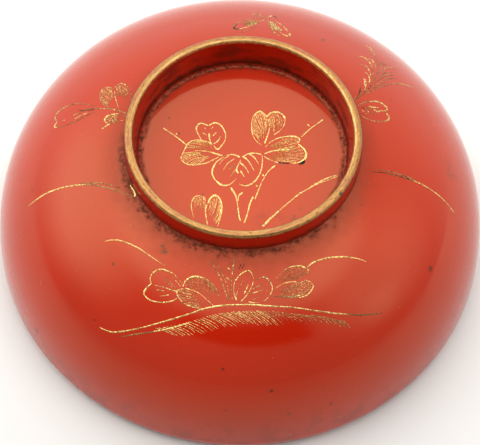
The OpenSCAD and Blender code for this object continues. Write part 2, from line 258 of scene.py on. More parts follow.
class Drawing:
    """Brushed gold lines that make up one piece. rubbed wears them all, and weight scales widths."""

    def __init__(self, place, rubbed=0.0, weight=1.0):
        self.place = place
        self.rubbed = rubbed
        self.weight = weight
        self.verts, self.faces, self.worn = [], [], []

    def line(self, points, *widths, worn=0.0):
        """A raised line through points. Its widths, in mm, are spread evenly along it."""
        curve = smooth(points)
        run = np.concatenate([[0], np.cumsum(np.linalg.norm(np.diff(curve, axis=0), axis=1))])
        end = run[-1]
        tip = np.array([0.03, 0.2, 0.5]) * min(max(widths), end / 2)
        middle = np.linspace(tip[-1], end - tip[-1], max(3, math.ceil(end / LINE_STEP)))
        at = np.concatenate([tip, middle[1:-1], end - tip[::-1]])
        x, y = np.interp(at, run, curve[:, 0]), np.interp(at, run, curve[:, 1])
        ahead = np.stack([np.gradient(x), np.gradient(y)], 1)
        side = np.stack([-ahead[:, 1], ahead[:, 0]], 1) / np.linalg.norm(ahead, axis=1)[:, None]
        width = self.weight * np.interp(at / end, np.linspace(0, 1, len(widths)), widths)
        width = width * [1 + LINE_UNEVEN * noise.noise((2.3 * a, 2.3 * b, 0.7)) for a, b in zip(x, y)]
        reach = np.minimum(at, end - at) / (0.5 * width)
        width = width * np.sqrt(np.clip(1 - (1 - np.clip(reach, 0, 1)) ** 2, 0.05, 1))
        first, rings, across = len(self.verts), len(at), len(LINE_PROFILE)
        for i in range(rings):
            flat = np.array([(x[i], y[i]) + side[i] * (u * width[i] / 2) for u, _ in LINE_PROFILE])
            lift = np.array([h for _, h in LINE_PROFILE])
            self.verts.extend(placed(self.place, flat, lift))
        self.worn += [worn + self.rubbed] * (rings * across)
        for i in range(rings - 1):
            for k in range(across):
                a, b = first + i * across + k, first + i * across + (k + 1) % across
                self.faces.append((a, a + across, b + across, b))
        self.faces.append(tuple(range(first, first + across)))
        self.faces.append(tuple(range(first + rings * across - 1, first + (rings - 1) * across - 1, -1)))

    def bud(self, x, y, size=0.55):
        """A small round touch of gold."""
        self.line([(x - 0.2, y + 0.15), (x + 0.2, y - 0.15)], size, size)

    def hatch(self, tips, roots, count, width=0.17, worn=0.1, uneven=0.3):
        """Fine lines from along one curve to along another, of uneven length, thinning out."""
        tips, roots = smooth(tips), smooth(roots)
        for i in range(count):
            t = (i + 0.5) / count
            start = tips[round(t * (len(tips) - 1))]
            end = roots[round(t * (len(roots) - 1))]
            short = uneven * (0.5 + noise.noise((7.1 * i, *start)))
            across = np.array([start[1] - end[1], end[0] - start[0]])
            bend = (0.05 + 0.05 * noise.noise((3.3 * i, *end))) * across
            points = [start, (start + end) / 2 + bend, end + (start - end) * short]
            self.line(points, 0.8 * width, 0.65 * width, 0.4 * width, worn=worn)

    def finish(self, name, node, material):
        piece = make_object(name, self.verts, self.faces, material, 60)
        mark = piece.data.attributes.new("worn", "FLOAT", "POINT")
        mark.data.foreach_set("value", self.worn)
        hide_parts(node)
        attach(piece, "root")


def recess_spray():
    """Five leaves and their stems on the recess floor."""
    d = Drawing(None, 0.1, 0.9)
    # Heart-shaped leaf, left open
    d.line([(-9.9, 3), (-10.9, 4.9), (-11.3, 6.6), (-10.4, 7.8), (-9.2, 7.5), (-8.4, 7.1)], 0.2, 0.25, 0.5,
           0.45, 0.3)
    d.line([(-8.4, 7.1), (-7.5, 7.9), (-6.4, 8), (-5.1, 7), (-4.2, 5)], 0.3, 0.5, 0.45, 0.3, 0.3)
    d.line([(-4.2, 5), (-4.3, 3.3), (-5, 1.8), (-6, 0.6), (-7, 1.6)], 0.25, 0.2, 0.3, 0.5, 0.2)
    d.line([(-8.2, 5), (-8, 3.4), (-7.4, 1.7)], 0.5, 0.4, 0.2)
    d.line([(-5.4, 4.3), (-6, 3), (-7, 2.1)], 0.15, 0.35, 0.5)
    d.line([(-6.5, 5.3), (-7.3, 4.3)], 0.25, 0.4)
    d.line([(-9.8, 5.1), (-8.8, 4.5)], 0.25, 0.3)
    d.line([(-9.4, 6.6), (-9, 6.2)], 0.15, 0.2)
    d.line([(-7.3, 6.9), (-7.8, 6.3)], 0.2, 0.3)
    # Leaf at the left, two hatched halves
    d.line([(-7.4, 2), (-8.4, 2.6), (-10.2, 3), (-12.1, 2.8), (-13.3, 1.7), (-13.8, 0.3)], 0.25, 0.35, 0.3,
           0.3, 0.6)
    d.line([(-13.8, 0.3), (-14.6, -2), (-14, -3.3), (-12.3, -4), (-10.2, -3.8), (-8.3, -3.2), (-5.6, -1.5)],
           0.3, 0.3, 0.4, 0.35, 0.3, 0.2)
    d.line([(-4.8, -1.1), (-6.5, -0.6), (-8.4, -0.1), (-11.4, 0)], 0.5, 0.4, 0.3, 0.15)
    d.hatch([(-13.6, 0.6), (-13.2, 1.7), (-12, 2.7), (-10.2, 2.9)],
            [(-7.9, 0.1), (-7.3, 0.7), (-6.9, 1.4)], 11)
    d.hatch([(-13.9, -0.6), (-14.4, -2), (-13.8, -3.2), (-12, -3.9), (-10, -3.7)],
            [(-9.5, -0.4), (-8.4, -0.9), (-7.2, -1.4)], 14, 0.22)
    # Broad leaf in the middle, left open
    d.line([(-0.6, -1.4), (-1.6, -0.9), (-2.6, -0.7), (-3.8, -1)], 0.6, 0.4, 0.35, 0.25)
    d.line([(-4.4, -1.4), (-6, -2.8), (-6.9, -4.6), (-7, -6.4), (-6.2, -8)], 0.2, 0.35, 0.5, 0.45, 0.3)
    d.line([(-6.2, -8), (-5.1, -9), (-4, -9.4), (-2.6, -8.9), (-1.3, -7.4)], 0.35, 0.65, 0.4, 0.3, 0.15)
    d.line([(-0.1, -1.3), (1.5, -0.3), (3.1, -0.1), (4.5, -0.4)], 0.25, 0.35, 0.45, 0.3)
    d.line([(4.7, -0.7), (4.8, -2.6), (4.5, -5), (3.6, -7.2), (2.3, -8.7), (0.8, -9.3), (-0.6, -8.8)],
           0.25, 0.3, 0.35, 0.5, 0.4, 0.15)
    d.line([(-0.4, -2.2), (-1, -3.7), (-1.3, -5), (-0.8, -5.9)], 0.25, 0.35, 0.6)
    d.line([(-1.8, -3.4), (-3, -4.8)], 0.35, 0.15, worn=0.3)
    d.line([(-1.9, -1.9), (-3.4, -3.2), (-4.5, -5.2)], 0.3, 0.2, 0.1)
    d.line([(-3.2, -1.1), (-4.7, -2.3), (-5.5, -3.8)], 0.2, 0.15, 0.1)
    d.line([(-1.5, -4.8), (-2.7, -6.9)], 0.3, 0.12, worn=0.3)
    d.line([(-0.5, -2.9), (0.8, -4.2), (1.7, -5.9)], 0.5, 0.3, 0.15)
    d.line([(0.1, -1.1), (1.5, -2.4), (2.9, -5)], 0.5, 0.3, 0.12)
    d.line([(1.6, -0.3), (2.9, -1.4), (3.9, -3.1)], 0.5, 0.3, 0.12)
    d.line([(-0.3, -5.2), (0.6, -6.8)], 0.5, 0.2)
    # Pair of hatched leaves at the upper right
    d.line([(4.5, 2.2), (3.3, 3.2), (2.3, 5), (1.9, 7.7), (2.2, 10.2)], 0.15, 0.25, 0.3, 0.25)
    d.line([(2.2, 10.2), (3.6, 11.8), (4.8, 11.2), (5.7, 10.2)], 0.3, 0.55, 0.45, 0.3)
    d.line([(5.9, 9.7), (6.2, 6.8), (5.2, 2.7)], 0.25, 0.3, 0.5)
    d.line([(5.6, 10.4), (6.4, 11.4), (7.7, 11.8), (9.1, 11.3), (10, 10)], 0.4, 0.5, 0.65, 0.45, 0.6)
    d.line([(10, 9.8), (9.7, 8.1), (8.8, 6.6), (7.4, 5.3)], 0.25, 0.3, 0.25, 0.45)
    d.line([(7.4, 8.2), (7.3, 6)], 0.2, 0.25)
    d.hatch([(2.1, 6), (2.1, 8.6), (2.8, 10.8), (4.2, 11.4), (5.6, 10)],
            [(3.9, 3), (4.5, 3.4), (5, 3.8), (5.6, 5.4)], 18, 0.2)
    d.hatch([(6, 9.6), (6.6, 11), (8, 11.3), (9.6, 9.6)], [(6.6, 6.4), (7.2, 5.9), (7.8, 5.9), (8.4, 6.6)],
            13)
    # Long hatched leaf at the right
    d.line([(5.3, 1.6), (6.6, 3.2), (8.5, 4.4), (11, 5), (12.8, 4.9), (13.6, 4.1), (12.9, 3)], 0.2, 0.3,
           0.4, 0.5, 0.4)
    d.line([(5.1, -0.9), (6.6, -1.8), (7.4, -2.1)], 0.2, 0.4, 0.25)
    d.line([(7.6, -2.3), (8.6, -2.5)], 0.3, 0.35)
    d.line([(8.6, -2.5), (10, -2.6), (11.2, -2.6)], 0.35, 0.5, 0.35, worn=1.0)
    d.line([(11.6, -2.5), (13.4, -2.3), (14.8, -1.2), (15.2, 0.4), (14.5, 1.8), (13.2, 2.9)],
           0.3, 0.5, 0.75, 0.6, 0.4)
    d.line([(13.4, -2.7), (14.3, -2.3), (14.9, -1.6)], 0.6, 1.1, 0.6, worn=1.1)
    d.line([(5.2, -0.2), (6.9, 0.6), (9.1, 1.1), (11.2, 1.3)], 0.3, 0.35, 0.45, 0.3)
    d.hatch([(9.4, 4.3), (11.6, 4.6), (13.1, 4.2), (12.8, 2.6), (12, 1.8)],
            [(6.2, 1.9), (6.4, 1.6), (6.8, 1.4), (7.4, 1.2)], 13)
    d.hatch([(13.4, 2.4), (14.6, 0.8), (14.4, -0.9), (12.4, -2.2), (9.6, -2.2)],
            [(7.6, 0.6), (7, 0.2), (6.4, -0.3), (6.2, -0.9)], 16)
    # Twigs with buds
    d.line([(13.9, 4.9), (16.2, 7.5), (18.8, 9.8)], 0.3, 0.3, 0.4)
    d.bud(18.9, 9.9, 0.65)
    d.line([(15.4, 8.6), (15.9, 8)], 0.6, 0.3)
    d.line([(-19.2, 6), (-16.4, 4), (-13.4, 1.5)], 0.35, 0.3, 0.45)
    d.bud(-19.1, 5.9, 0.6)
    d.line([(-16.2, 4.4), (-15.8, 4.7)], 0.45, 0.5)
    d.line([(-15.7, 4.7), (-15.2, 4.7)], 0.5, 0.3, worn=1.0)
    # Stems
    d.line([(-2.5, -9.9), (-1.3, -12), (-0.7, -14.8), (-0.3, -17.6), (0.1, -19)], 0.55, 0.35, 0.25, 0.3,
           0.45)
    d.line([(-0.7, -13.6), (-0.5, -12), (0.4, -11.1)], 0.2, 0.3, 0.65)
    d.line([(7.9, -3.3), (6.3, -5), (5, -7.6), (4.1, -10.2), (3.3, -12.9)], 0.55, 0.3, 0.25, 0.35, 0.3)
    d.line([(2.9, -12.1), (2.2, -14), (1.7, -16.6), (1, -19.4)], 0.5, 0.45, 0.3, 0.5)
    d.bud(5.1, -6.2)
    d.bud(3.7, -9.2, 0.6)
    # Pair of hatched leaves at the lower left
    d.line([(-10.9, -18.6), (-11.5, -16.2), (-11.6, -14.3), (-10.9, -12.8), (-9.8, -12.4)], 0.15, 0.25,
           0.35, 0.3)
    d.line([(-8, -14.8), (-8.2, -16.9), (-7.6, -20.4)], 0.45, 0.3, 0.25)
    d.line([(-7.8, -14.6), (-7.2, -13), (-6.2, -12.2), (-5.1, -12.9), (-4.4, -14.8)], 0.35, 0.45, 0.65,
           0.45, 0.5)
    d.line([(-4.4, -14.8), (-4.5, -17.1), (-5.2, -20.6)], 0.4, 0.3, 0.2)
    d.hatch([(-11.2, -13.6), (-10.2, -12.5), (-9, -12.5), (-8.4, -13)],
            [(-10.9, -17.4), (-10, -18.2), (-9, -17.4), (-8.5, -16.4)], 11, 0.18, 0.1, 0.6)
    d.hatch([(-7.4, -13.9), (-6, -12.9), (-4.8, -14.2), (-4.6, -16.6)],
            [(-7.7, -16.6), (-7.2, -18.4), (-6.4, -20.2), (-5.8, -20.6)], 12, 0.22)
    return d


def recess_blade():
    """One long grass blade on the recess floor, doubled at both ends."""
    d = Drawing(None, 0.2)
    d.line([(5.2, -20.2), (7, -17.9), (9, -15.8), (11.5, -13.2), (13.7, -11)], 0.35, 0.3, 0.3, 0.35)
    d.line([(13.7, -11), (16.5, -9), (18.6, -7.7), (21, -6.6), (22.8, -5.7)], 0.3, 0.35, 0.3, 0.2)
    d.line([(16, -9.2), (18.6, -7.3), (21, -6), (22.8, -5.4)], 0.2, 0.35, 0.3, 0.3)
    d.line([(5.4, -20.3), (7.4, -17.8), (9, -16)], 0.3, 0.3, 0.15)
    d.bud(14, -10.7, 0.4)
    return d


def front_spray():
    """The large spray on the near side: two grass blades, six leaves and some twigs."""
    d = Drawing((-90, 14), 0.3, 0.72)
    d.line([(-36, 1.4), (-33.6, 3), (-30.6, 4.4), (-26.3, 5.6), (-22.8, 5.9), (-17.8, 5.7)], 0.2, 0.35,
           0.4, 0.35, 0.15)
    d.line([(16.4, 6.9), (18.8, 7.4), (22.5, 6.6), (26.9, 4.8), (30.9, 2.5), (33.4, 0.7)], 0.55, 0.45,
           0.45, 0.35, 0.15)
    # Open leaf at the left
    d.line([(-13, 3.2), (-14.5, 4.4), (-16.2, 4.9), (-18.8, 4.5), (-20.6, 3.1), (-21.4, 1.6), (-21, 0.5)],
           0.15, 0.25, 0.5, 0.5, 0.3, 0.3)
    d.line([(-21, 0.5), (-22.2, -1), (-22.8, -2.4), (-21.2, -3), (-18.2, -2.4), (-15.4, -1.1), (-14.1, 0.1)],
           0.3, 0.7, 0.4, 0.35, 0.4, 0.25)
    d.line([(-20, 0.6), (-17.5, 1.1), (-14.3, 1.3)], 0.15, 0.3, 0.4)
    d.line([(-18, 2.8), (-15.5, 1.9)], 0.12, 0.3, worn=0.2)
    d.line([(-19.6, -0.2), (-17.4, 0.4)], 0.12, 0.3)
    d.line([(-18.6, -1.2), (-16.2, -0.1)], 0.12, 0.45)
    d.line([(-15.6, 4.1), (-13.4, 2.7)], 0.12, 0.2)
    d.line([(-17.4, 3.6), (-14.6, 1.9)], 0.1, 0.2, worn=0.2)
    # Two hatched leaves beside it
    d.line([(-4, 2.1), (-4.7, 3.7), (-5.9, 5.1), (-7.7, 6.2)], 0.15, 0.35, 0.3, worn=0.2)
    d.line([(-7.7, 6.2), (-10.3, 5.9), (-12.2, 4.5), (-12.9, 2.9)], 0.45, 0.6, 0.5, 0.35)
    d.line([(-12.3, 2.7), (-9.4, 2.6), (-7.1, 1.4), (-5.1, 0)], 0.4, 0.3, 0.3, 0.2)
    d.line([(-12.6, 2.5), (-14.3, 1.5), (-14, 0.3), (-12.5, -0.8)], 0.3, 0.5, 0.5, 0.35)
    d.line([(-12.5, -0.8), (-10.2, -1), (-7.4, -0.8)], 0.45, 0.35, 0.25)
    d.hatch([(-12.6, 3.4), (-11.6, 4.9), (-9.6, 5.9), (-7.6, 5.9), (-6, 4.8)],
            [(-10.2, 2.8), (-8.2, 2.4), (-6, 2), (-4.9, 2.2), (-4.4, 2.6)], 17, 0.2, 0.2, 0.4)
    d.hatch([(-12.6, 2.2), (-13.9, 1.4), (-13.8, 0.3), (-12.4, -0.6), (-10.4, -0.8)],
            [(-9.6, 2.3), (-8.6, 1.4), (-8.2, 0.6), (-7.8, 0), (-7.6, -0.6)], 12, 0.24, 0.1)
    # Blades and twigs in the middle
    d.line([(-6.8, 10.6), (-5.1, 8.5), (-3.7, 6), (-2.2, 1.9)], 0.4, 0.35, 0.3, 0.25, worn=0.25)
    d.line([(-5.2, 10.5), (-3.8, 8.1), (-2.5, 5.3), (-1.7, 1.9)], 0.15, 0.25, 0.3, 0.15, worn=0.25)
    d.line([(-1, 11.5), (-1.3, 9), (-1.5, 6.3), (-1.2, 2.1)], 0.45, 0.4, 0.3, 0.15, worn=0.3)
    d.line([(-2.5, 9.4), (-1.9, 9)], 0.7, 0.4)
    d.line([(-2.7, 7.1), (-2, 6.7)], 0.5, 0.35)
    d.line([(0.6, 10.5), (0.1, 9.3)], 0.2, 0.2, worn=1.0)
    d.line([(1.4, 10.6), (0.8, 9.3)], 0.2, 0.2, worn=1.0)
    # Open leaf right of the middle, in two halves
    d.line([(-0.2, 2), (-0.9, 4.1), (-0.8, 6.3)], 0.65, 0.25, 0.3)
    d.line([(-0.8, 6.3), (0.7, 8.2), (2.6, 8.9), (3.7, 6.8)], 0.3, 0.45, 0.45, 0.15)
    d.line([(1.2, 6.5), (0, 4.2), (-0.4, 2.5)], 0.2, 0.15, 0.15, worn=0.2)
    d.line([(3.6, 6.5), (2.8, 4.2), (0.7, 1.5)], 0.3, 0.35, 0.5)
    d.line([(2.4, 5.7), (2, 4.6), (1.6, 3.5)], 0.2, 0.5, 0.45)
    d.line([(4.1, 6.7), (6, 7.2), (7.5, 6)], 0.25, 0.4, 0.6, worn=0.15)
    d.line([(7.5, 6), (8.1, 4.1), (7.2, 2.5), (6, 1.5)], 0.45, 0.4, 0.25, 0.12)
    d.line([(5, 1.4), (3.4, 1.5), (2.6, 1.8)], 0.15, 0.35, 0.45)
    d.line([(6, 5.8), (3.6, 4.7)], 0.15, 0.4, worn=0.2)
    d.line([(6, 4.4), (3.4, 3.6)], 0.15, 0.5)
    d.line([(5.2, 2.7), (3.4, 2.1)], 0.1, 0.15)
    # Hatched leaf at the right, in two halves
    d.line([(8.8, 6.4), (10.6, 7.8), (12.4, 8.3)], 0.15, 0.25, 0.35, worn=0.2)
    d.line([(12.4, 8.3), (14.4, 7.9), (16, 7)], 0.35, 0.6, 0.5)
    d.line([(16, 7), (16.9, 6.1), (16, 5.3)], 0.4, 0.45, 0.25, worn=0.3)
    d.line([(8.9, 4.3), (11.1, 5), (13.8, 4.6)], 0.15, 0.35, 0.45)
    d.line([(8.3, 2.6), (11.2, 1.8), (14.5, 0.9)], 0.3, 0.35, 0.3, worn=0.35)
    d.line([(14.5, 0.9), (16.6, 0.9), (18.1, 2.1), (17.3, 3.5), (15.8, 4.4)], 0.3, 0.45, 0.5, 0.35, 0.25)
    d.hatch([(11.6, 7.9), (13.8, 7.8), (15.6, 6.8), (16.2, 5.8)],
            [(8.8, 5.6), (10, 5.2), (11.4, 5.1), (13.4, 5)], 13, 0.2, 0.3)
    d.hatch([(14.6, 4.5), (16.6, 3.8), (17.6, 2.4), (16.2, 1.3), (13.6, 1.4)],
            [(10.8, 4.4), (9.6, 3.8), (9.2, 3.3), (9.2, 2.9), (9.8, 2.3)], 13, 0.22, 0.15, 0.2)
    return d


def front_ground():
    """The ground line under the front spray, with slanting grass strokes below it."""
    d = Drawing((-90, 14), 0.2, 0.85)
    d.line([(-34.4, -15.4), (-31, -14.6), (-27.3, -12.6), (-23.3, -10.1), (-15.2, -5.1), (-7.5, -0.7)],
           0.3, 0.4, 0.3, 0.35, 0.4, 0.5, worn=0.15)
    d.line([(-7.5, -0.7), (-3.9, 0.5), (-0.4, 1), (3.6, 1), (8.1, 0.3)], 0.45, 0.5, 0.4, 0.5, 0.45)
    d.line([(8.1, 0.3), (12.7, -0.8), (17.4, -2.6), (22.3, -4.8), (27.5, -7.2)], 0.45, 0.4, 0.35, 0.4, 0.3,
           worn=0.2)
    d.line([(27.5, -7.2), (31.8, -9.2), (37.2, -11.4)], 0.35, 0.4, 0.2, worn=0.6)
    d.line([(-28, -14.2), (-24, -11.8), (-19.6, -9.4)], 0.2, 0.4, 0.3, worn=0.5)
    d.line([(-19.6, -9.4), (-15.4, -7.2), (-11, -4.7)], 0.3, 0.35, 0.3)
    d.hatch([(-19.5, -8.6), (-14.6, -6.3), (-10, -3.9), (-6, -2), (-2.4, -0.9), (1.2, -0.4), (5, -0.4)],
            [(-14, -8.6), (-9.2, -7.5), (-4.8, -5.8), (-0.8, -4.3), (3, -3.6), (6.8, -4.2), (10.6, -4.8)],
            32, 0.28, 0.1, 0.25)
    d.hatch([(5, -0.4), (8.6, -1), (12.2, -2), (16, -3.2), (19.8, -4.6), (23.8, -6.8), (26.4, -8.2)],
            [(10.6, -4.8), (14, -5.4), (17.6, -6), (21, -6.9), (24.2, -8.4), (26.8, -10.1), (28.8, -11.4)],
            22, 0.22, 0.35, 0.35)
    return d


def left_blade():
    """A long grass blade on the left, with a short hooked stroke at the foot."""
    d = Drawing((-170, 12), 0.2)
    d.line([(1.6, -16.4), (1.4, -13), (1.3, -10.2), (1.6, -6.8)], 0.15, 0.35, 0.4, 0.45)
    d.line([(1.6, -6.8), (2.1, -4), (2.8, -1.2), (3.6, 1.4)], 0.45, 0.4, 0.4, 0.35, worn=0.15)
    d.line([(3.6, 1.4), (4.8, 3.8), (6.2, 6), (7.8, 8.1), (9.4, 9.7), (10.8, 10.8)], 0.35, 0.4, 0.45, 0.35,
           0.3, worn=0.4)
    d.line([(2.7, -1.4), (3.2, 1.2), (4.1, 4), (5.2, 6.2), (6.5, 8), (7.7, 9.4)], 0.15, 0.3, 0.35, 0.3,
           0.12, worn=0.5)
    d.line([(7.4, 11.5), (8.6, 11.6), (10, 11.6), (10.8, 11)], 0.35, 0.45, 0.45, 0.4, worn=0.1)
    return d


def left_spray():
    """A long open leaf, a pair of hatched ones and a small one, on the back left."""
    d = Drawing((150, 12), 0.4, 0.85)
    d.line([(7.9, 1.5), (7.9, -1.1), (8.1, -4), (8.8, -6.1)], 0.12, 0.25, 0.3, 0.3, worn=0.3)
    d.line([(8.8, -6.1), (9.9, -8.1), (11.4, -9.4), (13, -9.5), (13.9, -8.4)], 0.3, 0.5, 0.5, 0.55, 0.45,
           worn=0.1)
    d.line([(13.9, -8.2), (15.5, -8.6), (15.6, -7.3)], 0.45, 0.55, 0.4)
    d.line([(15.6, -7.3), (14.7, -4.7), (13.2, -2.3), (11.4, 0), (9.2, 2.7)], 0.35, 0.25, 0.3, 0.25, 0.1,
           worn=0.35)
    d.line([(7.2, 11.2), (7.2, 8.6), (7.5, 6.1), (8.2, 3.1)], 0.35, 0.4, 0.35, 0.35, worn=0.15)
    d.line([(8.2, 3.1), (9, 0.6), (9.9, -1.3), (11, -2.6), (11.8, -3.8)], 0.35, 0.35, 0.3, 0.15, worn=0.4)
    d.line([(9.8, -2.6), (9.7, -0.6), (9, 1.8)], 0.15, 0.3, 0.3, worn=0.4)
    d.line([(11.6, -3.6), (10.9, -2.3)], 0.35, 0.45)
    d.line([(12.8, -3), (11.3, -1.2), (10.2, 0.4)], 0.2, 0.3, 0.2)
    d.line([(13.7, -6.5), (13.3, -5.8)], 0.35, 0.45)
    # Pair of hatched leaves
    d.line([(7.3, 7.1), (7.1, 5.5), (6.6, 3.7), (5.4, 2.2), (3.8, 1.3), (2.2, 1.4), (1.6, 2.7), (2, 4.4)],
           0.2, 0.25, 0.3, 0.45, 0.5, 0.4, 0.3, worn=0.1)
    d.line([(1.8, 4.4), (0.6, 4.4), (-0.4, 5.2), (-0.3, 6.8)], 0.3, 0.4, 0.5, 0.4)
    d.line([(-0.3, 6.8), (0.6, 8.4), (2.2, 9.9), (4.4, 10.9)], 0.35, 0.3, 0.35, 0.2, worn=0.35)
    d.line([(2.4, 4.8), (4.2, 6.3), (6.6, 8.5)], 0.35, 0.3, 0.12)
    d.hatch([(6.4, 3.7), (5, 2), (3.2, 1.5), (2, 2.2), (2.2, 3.8)],
            [(7, 5.6), (6.4, 5.6), (5.6, 5.8), (4.6, 5.8), (4, 5.8)], 15, 0.26, 0.05, 0.2)
    d.hatch([(1.2, 4.7), (0.2, 5.2), (0.2, 6.8), (1.2, 8.4)], [(4, 6.6), (3.8, 7.2), (3.8, 8), (3.8, 9)],
            13, 0.22)
    # Small hatched leaf
    d.line([(8.2, 11.4), (7.9, 10.4), (8.2, 8.5), (9.1, 6.7)], 0.12, 0.3, 0.35, 0.4, worn=0.15)
    d.line([(9.1, 6.7), (10.4, 5.8), (11.3, 6.3), (11.4, 7.3)], 0.4, 0.6, 0.55, 0.45)
    d.line([(13.5, 5.8), (12.4, 6.7), (11.2, 7.7)], 0.45, 0.4, 0.5)
    d.line([(11.2, 7.7), (10.4, 9.2), (9.4, 10.7)], 0.3, 0.3, 0.2, worn=0.2)
    d.hatch([(9, 7), (10.2, 6.2), (10.9, 7), (10.6, 8.2)], [(8.4, 9.6), (8.9, 9.6), (9.3, 9.8), (9.4, 10)],
            9, 0.26)
    return d


def back_spray():
    """Two leaves side by side at the back."""
    d = Drawing((90, 12), 0.45)
    d.line([(-4.3, -1), (-3, -1.1), (-1.6, -0.5), (0.2, 0.3), (1.6, 1.3), (2.6, 2.5)], 0.2, 0.3, 0.3, 0.3,
           0.35, worn=0.1)
    d.line([(2.6, 2.5), (3.2, 3.8), (2.9, 4.9), (1.9, 4.8)], 0.45, 0.65, 0.6, 0.4, worn=0.5)
    d.line([(1.9, 4.8), (0.5, 4.2), (-1.1, 3), (-2.8, 1.3), (-4.2, -0.5)], 0.35, 0.3, 0.3, 0.12)
    d.line([(-1, -2.2), (-1.9, -3.2), (-2.9, -3), (-3.6, -1.8), (-4.3, -0.9)], 0.2, 0.45, 0.45, 0.35, 0.25,
           worn=0.1)
    d.line([(1.6, 6.4), (0.1, 5.6), (-1.3, 4.4), (-2.7, 3)], 0.12, 0.25, 0.2, 0.12, worn=0.3)
    d.line([(-4.7, -1.2), (-5.5, -2.5), (-6.4, -3.3)], 0.25, 0.4, 0.35, worn=0.1)
    d.line([(-6.4, -3.3), (-7, -2.7), (-7.6, -1.6)], 0.4, 0.35, 0.15, worn=0.4)
    d.line([(-7.3, -0.2), (-8.7, 1), (-9.8, 2.4), (-10.7, 3.7)], 0.12, 0.3, 0.35, 0.35)
    d.line([(-10.7, 3.7), (-10.6, 4.8), (-9.8, 5.1), (-8.8, 4.8), (-8.2, 4.3)], 0.45, 0.7, 0.5, 0.3, 0.2)
    d.line([(-5.1, -0.9), (-5.5, 1.5), (-6.2, 3.8)], 0.2, 0.35, 0.35, worn=0.2)
    d.line([(-6.2, 3.8), (-7, 5.2), (-8, 5.9)], 0.4, 0.4, 0.3, worn=0.15)
    d.hatch([(1, 2.4), (0.4, 3), (-0.4, 3.2), (-1.4, 2.6)],
            [(-2.6, 0), (-2.8, 0.4), (-3, 0.6), (-3.2, 0.6)], 7, 0.4, 0.15)
    d.hatch([(-6, 3.6), (-7.2, 3.8), (-8.4, 4), (-8.8, 3.2)],
            [(-5.4, 0), (-5.6, -0.2), (-5.9, -0.3), (-6.3, -0.3)], 9, 0.45, 0.05)
    return d


def right_fern():
    """A fern frond with curved leaflets, and a grass blade from its foot, on the back right."""
    d = Drawing((45, 12), 0.45, 0.9)
    d.line([(-8.6, 10.2), (-8.4, 8), (-8.1, 5.6), (-7.4, 3.3), (-6.3, 0.8), (-4.9, -1.8)], 0.4, 0.4, 0.35,
           0.35, worn=0.3)
    d.line([(-4.9, -1.8), (-3.2, -3.9), (-1.3, -5.8), (0.2, -6.9)], 0.35, 0.3, 0.3, 0.2, worn=0.2)
    d.line([(0.2, -7), (2.1, -8.1), (3.4, -8.5), (4.6, -8.3)], 0.2, 0.3, 0.45, 0.2)
    d.line([(-4.9, -1.8), (-4.5, -4.5), (-4.2, -7.2), (-4.6, -8.6), (-5.6, -9)], 0.3, 0.25, 0.35, 0.5, 0.3,
           worn=0.1)
    d.line([(1.7, -1.6), (0.8, -2.7), (-1.1, -2.7), (-2.8, -2)], 0.2, 0.55, 0.4, 0.15)
    d.line([(-1.4, -2.1), (-2.7, -1.8), (-4.3, -0.7), (-5.7, 1)], 0.1, 0.2, 0.25, 0.15, worn=0.2)
    d.line([(0.2, -3.3), (-0.7, -4.2), (-2.2, -3.6), (-3.2, -3)], 0.2, 0.6, 0.4, 0.15)
    d.line([(-0.9, 0.6), (-2, -0.4), (-3.8, 0.2), (-5.2, 1.1)], 0.2, 0.6, 0.35, 0.12)
    d.line([(-3.2, 1.6), (-4.4, 1.4), (-5.8, 2.2), (-6.8, 3.6)], 0.2, 0.5, 0.4, 0.12)
    d.line([(-4.4, 3.8), (-5.5, 3.6), (-7, 4.8), (-7.8, 6.2)], 0.2, 0.6, 0.35, 0.12)
    d.line([(-5.2, 3.2), (-5.9, 4.3), (-6.9, 4.9)], 0.45, 0.5, 0.2)
    d.line([(-6.3, 6.2), (-7.1, 6.9), (-7.9, 8.2), (-8.4, 9)], 0.2, 0.6, 0.35, 0.12, worn=0.5)
    d.line([(2.4, -6.5), (1.2, -6.7), (0, -6)], 0.2, 0.5, 0.15, worn=0.1)
    d.line([(-2.8, -5), (-2.3, -6.4), (-2.7, -7.4)], 0.12, 0.35, 0.35, worn=0.3)
    d.line([(-3.8, -4), (-3, -6), (-3.3, -7.6)], 0.12, 0.35, 0.35, worn=0.3)
    d.line([(-6.1, -1), (-5.6, -3.4), (-5.6, -5.5), (-6.1, -6.6)], 0.12, 0.3, 0.35, 0.35, worn=0.25)
    d.line([(-7, 1.1), (-6.7, -1.4), (-6.4, -4.2), (-7, -6.4)], 0.12, 0.3, 0.35, 0.35, worn=0.25)
    d.line([(-8, 3.2), (-7.7, -0.2), (-7.5, -3.6), (-8.1, -6.3)], 0.12, 0.3, 0.35, 0.3, worn=0.25)
    d.line([(-8.4, 4.4), (-8.3, 1), (-8.2, -2.2)], 0.12, 0.25, 0.12, worn=0.3)
    d.line([(-8.5, 7), (-8.8, 4.2), (-8.8, 0.8), (-9, -2.4), (-9.6, -5.6)], 0.15, 0.3, 0.3, 0.35, worn=0.2)
    d.line([(-9.6, -5.6), (-10.6, -8.4), (-11.8, -10.1)], 0.35, 0.45, 0.5)
    return d


